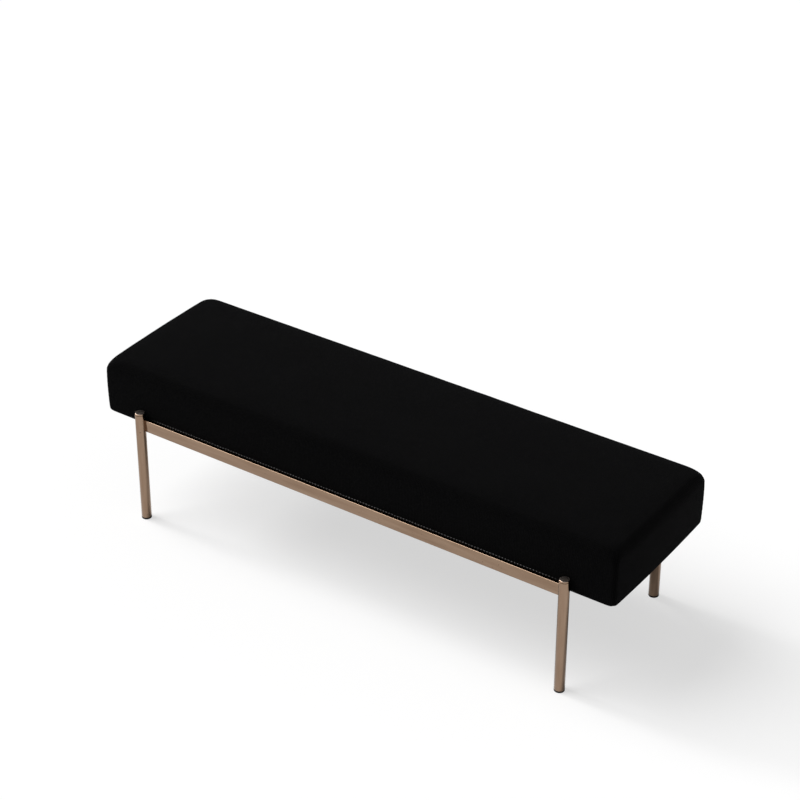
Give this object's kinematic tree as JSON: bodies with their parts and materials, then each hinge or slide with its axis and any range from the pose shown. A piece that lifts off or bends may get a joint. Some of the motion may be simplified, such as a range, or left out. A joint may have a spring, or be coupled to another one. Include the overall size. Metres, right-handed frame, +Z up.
{
  "type": "upholstered bench",
  "caption": "Long low bench: a thick padded seat bolted to a welded metal frame with round legs and flat side rails.",
  "frame": {"origin": "on the floor under the middle of the bench", "axes": "+X along the length of the seat, +Y from the front long side to the back one, +Z up"},
  "size_m": [1.6, 0.508, 0.46],
  "materials": {
    "frame_metal": "mirror-polished steel plated in a warm champagne tone",
    "seat_fabric": "black chunky-woven upholstery cloth, matt",
    "glide_plastic": "black moulded plastic",
    "foam": "open-cell polyurethane foam",
    "plywood": "raw plywood",
    "lining_cloth": "thin black spun-bonded dust cover",
    "zinc_steel": "bright zinc-plated steel"
  },
  "bodies": {
    "root": {"leg_front_left": "frame_metal", "leg_front_right": "frame_metal", "leg_back_left": "frame_metal", "leg_back_right": "frame_metal", "leg_cap_front_left": "frame_metal", "leg_cap_front_right": "frame_metal", "leg_cap_back_left": "frame_metal", "leg_cap_back_right": "frame_metal", "glide_front_left": "glide_plastic", "glide_front_right": "glide_plastic", "glide_back_left": "glide_plastic", "glide_back_right": "glide_plastic", "rail_front": "frame_metal", "rail_back": "frame_metal", "cross_bar_1": "frame_metal", "cross_bar_2": "frame_metal", "cross_bar_3": "frame_metal", "cross_bar_4": "frame_metal", "seat_cover": "seat_fabric", "seat_foam": "foam", "seat_board": "plywood", "seat_lining": "lining_cloth", "bolt_1_front": "zinc_steel", "bolt_1_back": "zinc_steel", "bolt_2_front": "zinc_steel", "bolt_2_back": "zinc_steel", "bolt_3_front": "zinc_steel", "bolt_3_back": "zinc_steel", "bolt_4_front": "zinc_steel", "bolt_4_back": "zinc_steel", "washer_1_front": "zinc_steel", "washer_1_back": "zinc_steel", "washer_2_front": "zinc_steel", "washer_2_back": "zinc_steel", "washer_3_front": "zinc_steel", "washer_3_back": "zinc_steel", "washer_4_front": "zinc_steel", "washer_4_back": "zinc_steel", "tee_nut_1_front": "zinc_steel", "tee_nut_1_back": "zinc_steel", "tee_nut_2_front": "zinc_steel", "tee_nut_2_back": "zinc_steel", "tee_nut_3_front": "zinc_steel", "tee_nut_3_back": "zinc_steel", "tee_nut_4_front": "zinc_steel", "tee_nut_4_back": "zinc_steel"}
  },
  "joints": []
}
